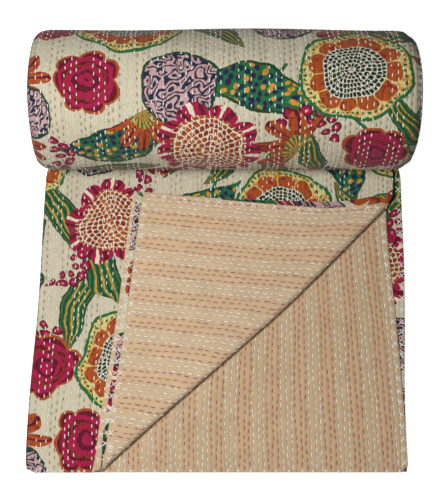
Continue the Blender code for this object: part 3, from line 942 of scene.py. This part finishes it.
def onCloth(name, u, s, side, rise):  # points on the print, side 1, or on the backing, side -1
    lengths, across, height = sections[name]
    outward = -1 if halfCloth[name]["flip"] else 1

    nudge, stride = 2e-4, 4e-4  # metres, to feel for the cloth's slope

    def at(u, s):
        dx = np.interp(u + nudge, lengths, across) - np.interp(u - nudge, lengths, across)
        dz = np.interp(u + nudge, lengths, height) - np.interp(u - nudge, lengths, height)
        out = side * outward * quilt["thickness"] / 2 / np.hypot(dx, dz)
        x = np.interp(u, lengths, across) - dz * out
        z = np.interp(u, lengths, height) + dx * out
        return place(np.stack([x, s + quilt["openEnd"], z], 1))

    base = at(np.clip(u, 0, lengths[-1]), s)
    safe = np.clip(u, 0.001, lengths[-1] - 0.001)
    normal = np.cross(at(safe + stride, s) - at(safe, s), at(safe, s + stride) - at(safe, s))
    normal *= side * outward / np.linalg.norm(normal, axis=1)[:, None]
    over = np.clip(u, 0, lengths[-1]) - u  # past a hem
    beyond = at(safe, s) - at(safe + stride, s)
    points = base + normal * rise[:, None] + beyond * (over / stride)[:, None]
    points[:, 2] = np.maximum(points[:, 2], 0)  # nothing goes below what the quilt lies on
    return points


def modelStitch():  # one stitch of thread, 1 long, 1 wide and 1 high
    bpy.ops.object.select_all(action="DESELECT")
    bpy.ops.mesh.primitive_uv_sphere_add(segments=4, ring_count=4, radius=0.5, rotation=(0, math.pi / 2, 0))
    stitch = bpy.context.object
    bpy.ops.object.transform_apply(rotation=True)
    for vertex in stitch.data.vertices:
        x, y, z = vertex.co
        share = min(1.0, 1.18 * math.hypot(y, z) / 0.5) if abs(x) > 0.01 else 1.0
        grown = share / max(math.hypot(y, z) / 0.5, 1e-6) if math.hypot(y, z) > 1e-4 else 1.0
        lift = 0.9 - 3.6 * x * x
        vertex.co = (x * (1.08 if abs(x) < 0.45 else 1.0), y * grown, z * grown + lift)
    return stitch


stitchModel = modelStitch()
stitchPoints = np.array([v.co[:] for v in stitchModel.data.vertices])
stitchFaces = [tuple(f.vertices) for f in stitchModel.data.polygons]
stitchRound = np.array([loop.uv[:] for loop in stitchModel.data.uv_layers.active.data])
bpy.data.objects.remove(stitchModel, do_unlink=True)


def sew(title, name, spots, side, thread):
    # spots hold, for each stitch: across, along, angle to the rows, length, width, rise
    u0, s0, angle, length, width, rise = [np.repeat(column, len(stitchPoints)) for column in np.array(spots).T]
    a, b, c = [np.tile(column, len(spots)) for column in stitchPoints.T]
    a, b = a * length, b * width
    u = u0 + a * np.sin(angle) + b * np.cos(angle)
    s = s0 + a * np.cos(angle) - b * np.sin(angle)
    points = onCloth(name, u, s, side, c * rise - stitching["sunk"])
    faces = [[i + k * len(stitchPoints) for i in face] for k in range(len(spots)) for face in stitchFaces]
    mesh = bpy.data.meshes.new(title)
    mesh.from_pydata(points.tolist(), [], faces)
    uvs = mesh.uv_layers.new(name="threadPlace")
    uvs.data.foreach_set("uv", np.tile(stitchRound, (len(spots), 1)).astype(np.float32).ravel())
    sewn = bpy.data.objects.new(title, mesh)
    bpy.context.scene.collection.objects.link(sewn)
    mesh.materials.append(bpy.data.materials[thread])
    bm = bmesh.new()
    bm.from_mesh(mesh)
    bmesh.ops.recalc_face_normals(bm, faces=bm.faces)
    bm.to_mesh(mesh)
    bm.free()
    bpy.ops.object.select_all(action="DESELECT")
    sewn.select_set(True)
    bpy.context.view_layer.objects.active = sewn
    bpy.ops.object.shade_smooth()
    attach(sewn, "root")
    print(title, len(spots), "stitches")


hand = np.random.default_rng(20)  # the uneven hand of the sewing
uneven = {
    "along": 0.0009,  # metres
    "across": 0.00028,
    "length": 0.18,  # shares of the whole
    "width": 0.12,
    "turn": 0.07,  # radians
    "missed": 0.012,  # share of stitches left out
    "crossPlace": 0.0003,
    "crossLean": 0.10,
    "crossLength": 0.09,
}


def turnedAt(x, s):  # how far a point lies past the crease of the turned corner
    angle = math.radians(corner["angle"])
    return (x - corner["x"]) * math.sin(angle) - s * math.cos(angle)


def runRows(name, side, red, uFrom, uTo, sFrom, sTo, seen):
    found = {red: [], "creamThread": []}
    lengths, across, height = sections[name]
    first, last = int(uFrom / stitching["group"]) * 3, int(uTo / stitching["group"] + 1) * 3
    for number in range(first, last):
        base = number // 3 * stitching["group"] + number % 3 * stitching["row"]
        if not uFrom <= base <= uTo:
            continue
        thread = red if number // 3 % 2 else "creamThread"
        shift = 0.5 if side < 0 else 0.0
        length = stitching["lengthBack"] if side < 0 else stitching["lengthFront"]
        steps = np.arange(int(sFrom / stitching["step"]), int(sTo / stitching["step"]) + 2)
        v = (steps + shift - number * stitching["phase"] % 1.0) * stitching["step"]
        s = v + hand.normal(0, uneven["along"], len(v))
        u = base + hand.normal(0, uneven["across"], len(s))
        for far, often, turn in stitching["wander"]:
            u = u + far * np.sin(often * s + turn * number)
        x = np.interp(u, lengths, across)
        long = length * hand.normal(1, uneven["length"], len(s)).clip(0.55, 1.45)
        angle = hand.normal(0, uneven["turn"], len(s))
        wide = stitching["width"][thread] * hand.normal(1, uneven["width"], len(s))
        keep = (s > sFrom) & (s < sTo) & seen(x, s) & (hand.random(len(s)) > uneven["missed"])
        for i in np.flatnonzero(keep):
            found[thread].append((u[i], s[i], angle[i], long[i], wide[i], stitching["rise"]))
    return found


lengths, across, height = sections["upperHalf"]
onTop = lengths[np.abs(height - layerMiddle(7)) < 1e-5]
onFourth = lengths[np.abs(height - layerMiddle(4)) < 1e-5]
onFifth = lengths[np.abs(height - layerMiddle(5)) < 1e-5]
rollSeen = rollStart + roll["radius"] * math.radians(300)
fromEnd, fromHem = 0.004, 0.006  # the rows start this far from the open end and from the side hems


def frontShows(x, s):
    return (turnedAt(x, s) < 0.003) | (s > tailLength)


def fourthShows(x, s):
    return turnedAt(x, s) > -0.014


def turnedShows(x, s):
    return turnedAt(x, s) > 0.001


# which half and side the rows are on, their darker thread, where they start and stop, and what shows
rows = {
    "front": ("upperHalf", 1, "maroonThread", onFourth.max(), onTop.max() + 0.003, fromEnd, rollSeen, frontShows),
    "fourth": ("upperHalf", -1, "redThread", fromHem, onFourth.max(), fromEnd, tailLength, fourthShows),
    "turned": ("upperHalf", -1, "redThread", onFifth.min(), onFifth.max() - fromHem, fromEnd, tailLength, turnedShows),
}
for title, values in rows.items():
    for thread, spots in runRows(*values).items():
        sew(title + thread[0].upper() + thread[1:], values[0], spots, values[1], thread)


def crossHem(us, ss, inward, big=1.0):  # crosses along a hem; inward is the way into the cloth, in u and s
    spots = []
    halfCross = stitching["crossSize"] / 2 - 0.0004
    for u, s, share in zip(us, ss, big * np.ones(len(us))):
        u, s = u + inward[0] * halfCross * share, s + inward[1] * halfCross * share
        lean = hand.normal(0, uneven["crossLean"])
        size = stitching["crossSize"] * 1.3 * share * hand.normal(1, uneven["crossLength"])
        for tilt, rise in zip((math.pi / 4, -math.pi / 4), stitching["crossRise"]):
            slant = tilt + lean + hand.normal(0, uneven["turn"])
            shift = hand.normal(0, uneven["crossPlace"])
            spots.append((u, s + shift, slant, size, stitching["crossWidth"], rise))
    return spots


def crossPlaces(start, end):
    count = int((end - start) / stitching["crossStep"])
    return start + (np.arange(count) + 0.5) * stitching["crossStep"] + hand.normal(0, uneven["along"], count)


for name in halfCloth:
    width = sections[name][0][-1]
    for side, face in ((1, "Front"), (-1, "Back")):
        fromSide, fromOpenEnd = stitching["crossFrom"]
        across, along = crossPlaces(fromSide, width - fromSide), crossPlaces(fromOpenEnd, rollCore)
        x, z = (np.interp(across, sections[name][0], column) for column in sections[name][1:])
        shown = (z > turnedAbove) & (turnedAt(x, 0) > 0)
        spots = crossHem(across, 0 * across, (0, 1), np.where(shown, 1.0, 0.5))
        spots += crossHem(0 * along, along, (1, 0))
        spots += crossHem(0 * along + width, along, (-1, 0))
        sew(name + "Crosses" + face, name, spots, side, "creamThread")

photoView = {
    "place": (0.0011, -0.343, 1.440),
    "tilt": 13.9,  # degrees from straight down
    "lens": 67.03,
}
viewer = bpy.data.cameras.new("photoView")
viewerObject = bpy.data.objects.new("photoView", viewer)
bpy.context.scene.collection.objects.link(viewerObject)
viewerObject.location = photoView["place"]
viewerObject.rotation_euler = (math.radians(photoView["tilt"]), 0, 0)
viewer.sensor_fit, viewer.sensor_height, viewer.lens = "VERTICAL", 36, photoView["lens"]
bpy.context.scene.camera = viewerObject

bpy.ops.mesh.primitive_plane_add(size=30)
floor = bpy.context.object
floor.name = "floor"
paper = bpy.data.materials.new("whitePaper")
paper.use_nodes = True
paperShader = paper.node_tree.nodes["Principled BSDF"]
paperShader.inputs["Base Color"].default_value = (0.35, 0.35, 0.35, 1)
paperShader.inputs["Roughness"].default_value = 0.9
paperShader.inputs["Emission Color"].default_value = (1, 1, 1, 1)
sight = paper.node_tree.nodes.new("ShaderNodeLightPath")  # white where the camera sees it
paper.node_tree.links.new(sight.outputs["Is Camera Ray"], paperShader.inputs["Emission Strength"])
floor.data.materials.append(paper)

studio = {
    "softbox": ((-0.38, -0.24, 1.34), 0.46, 20.8),  # place, size and watts
    "room": 0.045,
}
softboxPlace, softboxSize, softboxPower = studio["softbox"]
bpy.ops.object.light_add(type="AREA", location=softboxPlace)
softbox = bpy.context.object
softbox.name = "softbox"
softbox.data.energy, softbox.data.size = softboxPower, softboxSize
softbox.rotation_euler = (Vector(softboxPlace) - Vector((0, -0.05, 0.05))).to_track_quat("Z", "Y").to_euler()
room = bpy.data.worlds.new("room")
bpy.context.scene.world = room
room.use_nodes = True
room.node_tree.nodes["Background"].inputs["Color"].default_value = (1, 1, 1, 1)
room.node_tree.nodes["Background"].inputs["Strength"].default_value = studio["room"]
bpy.context.scene.view_settings.view_transform = "Standard"
